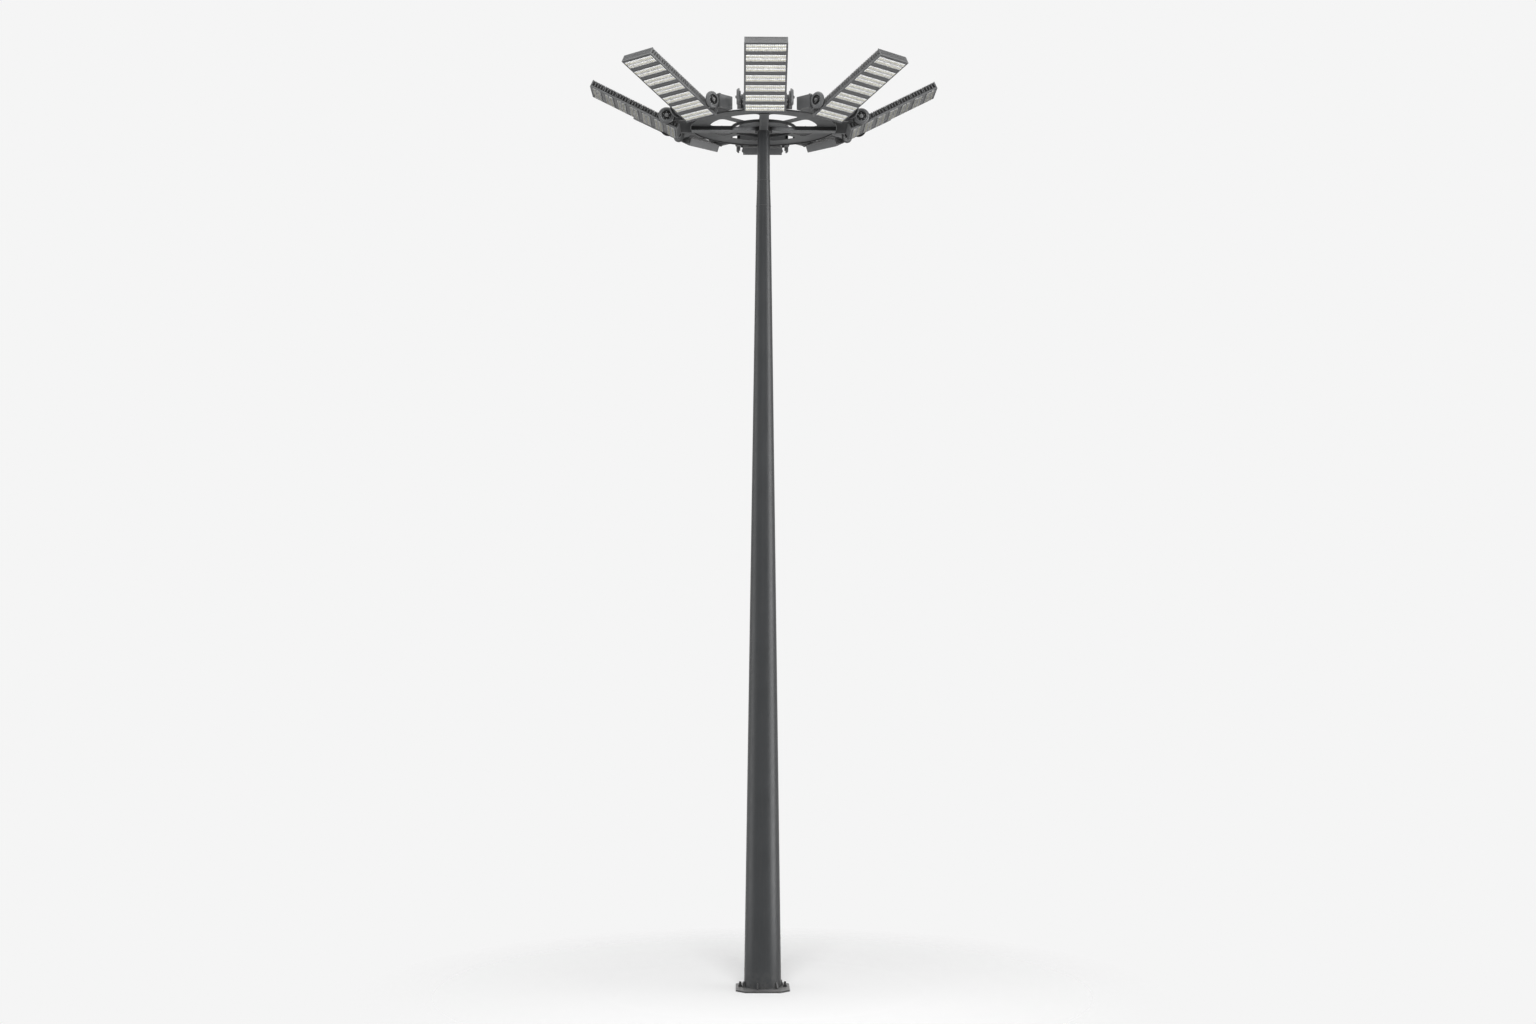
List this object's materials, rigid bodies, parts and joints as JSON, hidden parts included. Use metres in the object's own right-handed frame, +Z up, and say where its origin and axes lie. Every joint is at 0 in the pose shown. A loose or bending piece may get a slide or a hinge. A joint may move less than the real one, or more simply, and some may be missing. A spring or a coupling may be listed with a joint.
{
  "type": "high mast floodlight tower",
  "caption": "Tapered round steel mast on a bolted base plate, with a spoked ring head that carries a crown of tilting LED floodlights.",
  "frame": {"origin": "centre of the base plate's underside, on the mast's axis", "axes": "+Z up the mast, -Y towards the front lamp, +X to its right seen from the front"},
  "size_m": [6.1184, 6.1184, 15.8588],
  "materials": {
    "painted_steel": "satin",
    "bolt_steel": "satin",
    "lamp_aluminium": "satin",
    "sink_aluminium": "satin",
    "lens_plastic": "gloss"
  },
  "bodies": {
    "mast": {"base_plate": "painted_steel", "anchor_bolts": "bolt_steel", "base_gussets": "painted_steel", "mast_shaft": "painted_steel", "mast_top": "painted_steel", "radial_arms": "painted_steel", "hub_plate": "painted_steel", "inner_ring": "painted_steel", "ring_deck": "painted_steel", "yoke_crossbars": "painted_steel", "yoke_arms": "painted_steel", "pivot_discs": "painted_steel"},
    "lamp_1": {"lamp_1_frame": "lamp_aluminium", "lamp_1_heat_sinks": "sink_aluminium", "lamp_1_lenses": "lens_plastic"},
    "lamp_2": {"lamp_2_frame": "lamp_aluminium", "lamp_2_heat_sinks": "sink_aluminium", "lamp_2_lenses": "lens_plastic"},
    "lamp_3": {"lamp_3_frame": "lamp_aluminium", "lamp_3_heat_sinks": "sink_aluminium", "lamp_3_lenses": "lens_plastic"},
    "lamp_4": {"lamp_4_frame": "lamp_aluminium", "lamp_4_heat_sinks": "sink_aluminium", "lamp_4_lenses": "lens_plastic"},
    "lamp_5": {"lamp_5_frame": "lamp_aluminium", "lamp_5_heat_sinks": "sink_aluminium", "lamp_5_lenses": "lens_plastic"},
    "lamp_6": {"lamp_6_frame": "lamp_aluminium", "lamp_6_heat_sinks": "sink_aluminium", "lamp_6_lenses": "lens_plastic"},
    "lamp_7": {"lamp_7_frame": "lamp_aluminium", "lamp_7_heat_sinks": "sink_aluminium", "lamp_7_lenses": "lens_plastic"},
    "lamp_8": {"lamp_8_frame": "lamp_aluminium", "lamp_8_heat_sinks": "sink_aluminium", "lamp_8_lenses": "lens_plastic"}
  },
  "joints": [
    {"name": "lamp_1_tilt", "type": "hinge", "parent": "mast", "child": "lamp_1", "pos_m": [0, -1.70708, 15.2069], "axis": [-1, 0, 0], "range_deg": [-26.5, 33.5]},
    {"name": "lamp_2_tilt", "type": "hinge", "parent": "mast", "child": "lamp_2", "pos_m": [1.20709, -1.20709, 15.2069], "axis": [-0.7071, -0.7071, 0], "range_deg": [-26.5, 33.5]},
    {"name": "lamp_3_tilt", "type": "hinge", "parent": "mast", "child": "lamp_3", "pos_m": [1.70708, 0, 15.2069], "axis": [0, -1, 0], "range_deg": [-26.5, 33.5]},
    {"name": "lamp_4_tilt", "type": "hinge", "parent": "mast", "child": "lamp_4", "pos_m": [1.20709, 1.20709, 15.2069], "axis": [0.7071, -0.7071, 0], "range_deg": [-26.5, 33.5]},
    {"name": "lamp_5_tilt", "type": "hinge", "parent": "mast", "child": "lamp_5", "pos_m": [0, 1.70708, 15.2069], "axis": [1, 0, 0], "range_deg": [-26.5, 33.5]},
    {"name": "lamp_6_tilt", "type": "hinge", "parent": "mast", "child": "lamp_6", "pos_m": [-1.20709, 1.20709, 15.2069], "axis": [0.7071, 0.7071, 0], "range_deg": [-26.5, 33.5]},
    {"name": "lamp_7_tilt", "type": "hinge", "parent": "mast", "child": "lamp_7", "pos_m": [-1.70708, 0, 15.2069], "axis": [0, 1, 0], "range_deg": [-26.5, 33.5]},
    {"name": "lamp_8_tilt", "type": "hinge", "parent": "mast", "child": "lamp_8", "pos_m": [-1.20709, -1.20709, 15.2069], "axis": [-0.7071, 0.7071, 0], "range_deg": [-26.5, 33.5]}
  ]
}
